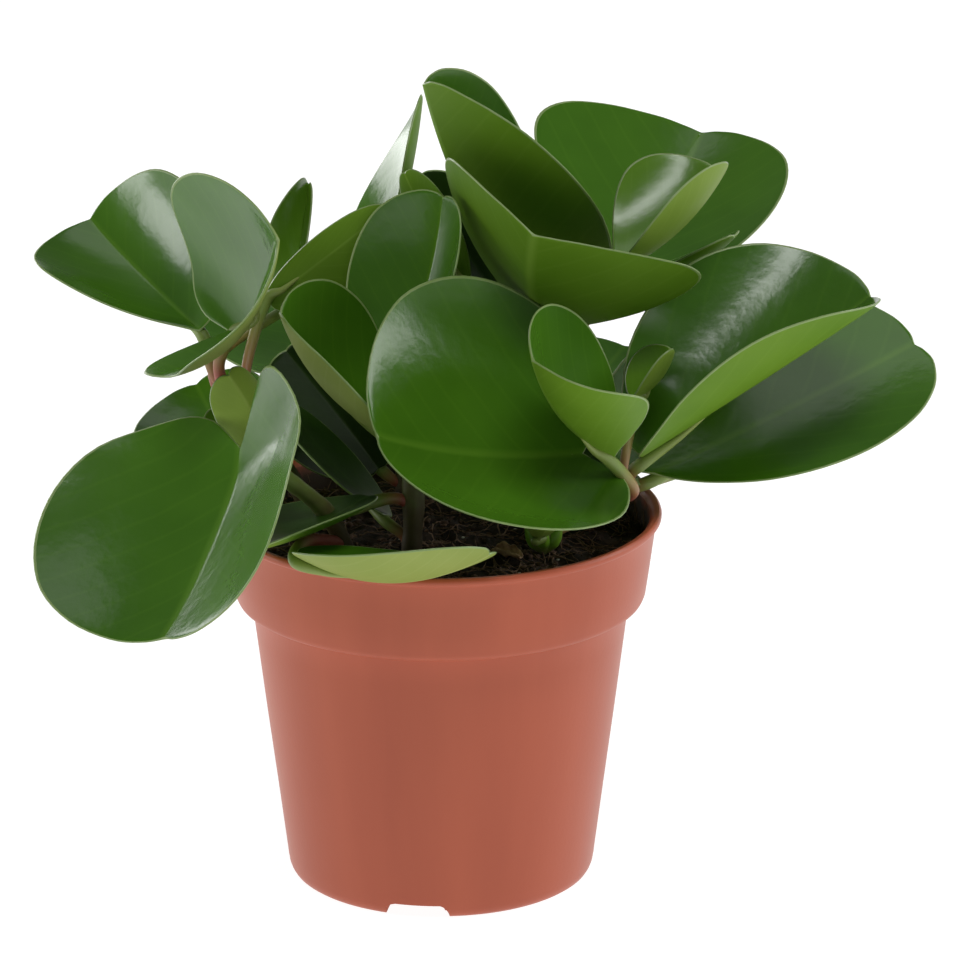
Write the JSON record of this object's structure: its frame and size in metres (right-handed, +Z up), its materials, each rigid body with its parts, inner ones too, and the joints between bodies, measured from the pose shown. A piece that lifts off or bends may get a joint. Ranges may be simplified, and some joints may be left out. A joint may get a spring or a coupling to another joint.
{
  "type": "potted peperomia",
  "caption": "Peperomia house plant with round, fleshy, cupped leaves on short branching stems, growing in a tapered terracotta-coloured plastic nursery pot.",
  "frame": {"origin": "centre of the pot's underside", "axes": "+Z up, front of the plant towards -Y"},
  "size_m": [0.2458, 0.2216, 0.2161],
  "materials": {
    "pot_plastic": "satin injection-moulded",
    "soil": "loose, fibrous, matt",
    "stem": "soft, matt",
    "leaf": "waxy gloss",
    "young_leaf": "waxy gloss"
  },
  "bodies": {
    "root": {"leaf_back_centre": "leaf", "leaf_back_left": "leaf", "leaf_back_left_low": "leaf", "leaf_back_low": "leaf", "leaf_back_right": "leaf", "leaf_back_right_low": "leaf", "leaf_centre_cupped": "leaf", "leaf_centre_folded": "leaf", "leaf_centre_narrow": "leaf", "leaf_centre_shaded": "leaf", "leaf_centre_upright": "leaf", "leaf_front_centre": "leaf", "leaf_front_diagonal": "leaf", "leaf_front_left_hanging": "leaf", "leaf_front_left_low": "leaf", "leaf_front_rim": "leaf", "leaf_inner_left": "leaf", "leaf_left_back": "leaf", "leaf_left_bud": "young_leaf", "leaf_left_cupped": "leaf", "leaf_left_low_back": "leaf", "leaf_left_outer": "leaf", "leaf_left_pale": "young_leaf", "leaf_left_upright": "leaf", "leaf_right_back_side": "leaf", "leaf_right_bud": "young_leaf", "leaf_right_cupped": "leaf", "leaf_right_edge": "leaf", "leaf_right_lower": "leaf", "leaf_right_upper": "leaf", "leaf_right_young": "young_leaf", "leaf_soil_young": "young_leaf", "leaf_top_folded": "leaf", "leaf_top_large": "leaf", "leaf_upper_right": "leaf", "pot": "pot_plastic", "soil": "soil", "stem_back": "stem", "stem_back_right": "stem", "stem_centre": "stem", "stem_front_left": "stem", "stem_left": "stem", "stem_right": "stem"}
  },
  "joints": []
}
